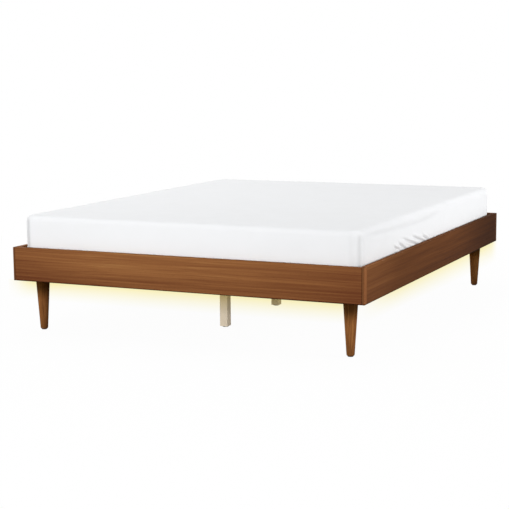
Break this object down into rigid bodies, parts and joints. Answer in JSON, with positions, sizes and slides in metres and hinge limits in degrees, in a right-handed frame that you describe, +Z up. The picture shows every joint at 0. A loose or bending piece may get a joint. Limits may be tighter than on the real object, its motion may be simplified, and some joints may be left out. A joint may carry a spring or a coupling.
{
  "type": "platform bed",
  "caption": "Low platform bed with a boarded frame, tapered turned legs, a slatted base, a mattress in a fitted sheet, and an LED strip that lights the floor below.",
  "frame": {"origin": "on the floor under the middle of the bed", "axes": "+Z up, +Y towards the head end, +X towards the right side as seen from the foot end"},
  "size_m": [1.67, 2.07, 0.5287],
  "materials": {
    "walnut_veneer": "satin",
    "walnut_lipping": "satin",
    "walnut_turned": "satin",
    "pine": "matte",
    "zinc_steel": "satin",
    "black_plastic": "matte",
    "pale_beech": "matte",
    "nylon_webbing": "matte",
    "led_silicone": "satin",
    "grey_plastic": "matte",
    "circuit_board": "satin",
    "mattress_ticking": "matte",
    "white_cotton": "matte"
  },
  "bodies": {
    "frame": {"foot_panel": "walnut_veneer", "head_panel": "walnut_veneer", "side_rail_left": "walnut_veneer", "side_rail_right": "walnut_veneer", "corner_lip_foot_left": "walnut_lipping", "corner_lip_foot_right": "walnut_lipping", "corner_lip_head_left": "walnut_lipping", "corner_lip_head_right": "walnut_lipping", "leg_foot_left": "walnut_turned", "leg_foot_right": "walnut_turned", "leg_head_left": "walnut_turned", "leg_head_right": "walnut_turned", "corner_block_foot_left": "pine", "corner_block_foot_right": "pine", "corner_block_head_left": "pine", "corner_block_head_right": "pine", "slat_ledge_left": "pine", "slat_ledge_right": "pine", "centre_beam": "pine", "slat_01": "pine", "slat_02": "pine", "slat_03": "pine", "slat_04": "pine", "slat_05": "pine", "slat_06": "pine", "slat_07": "pine", "slat_08": "pine", "slat_09": "pine", "slat_10": "pine", "slat_11": "pine", "slat_12": "pine", "slat_13": "pine", "slat_14": "pine", "leg_bolt_foot_left": "zinc_steel", "leg_bolt_foot_right": "zinc_steel", "leg_bolt_head_left": "zinc_steel", "leg_bolt_head_right": "zinc_steel", "beam_hanger_foot": "zinc_steel", "beam_hanger_head": "zinc_steel", "leg_glide_foot_left": "black_plastic", "leg_glide_foot_right": "black_plastic", "leg_glide_head_left": "black_plastic", "leg_glide_head_right": "black_plastic", "post_glide_1": "black_plastic", "post_glide_2": "black_plastic", "post_glide_3": "black_plastic", "led_controller_cover": "black_plastic", "power_inlet": "black_plastic", "support_post_1": "pale_beech", "support_post_2": "pale_beech", "support_post_3": "pale_beech", "slat_strap_left": "nylon_webbing", "slat_strap_right": "nylon_webbing", "led_strip": "led_silicone", "led_controller_base": "grey_plastic", "led_controller_board": "circuit_board"},
    "mattress": {"mattress": "mattress_ticking", "fitted_sheet": "white_cotton"},
    "led_button": {"led_button": "grey_plastic"}
  },
  "joints": [
    {"name": "mattress_lift", "type": "slide", "parent": "frame", "child": "mattress", "axis": [0, 0, 1], "range_m": [0, 0.3]},
    {"name": "led_button_press", "type": "slide", "parent": "frame", "child": "led_button", "axis": [0, 0, 1], "range_m": [0, 0.001], "stiffness_N_per_m": 400, "springref_m": -0.0005}
  ]
}
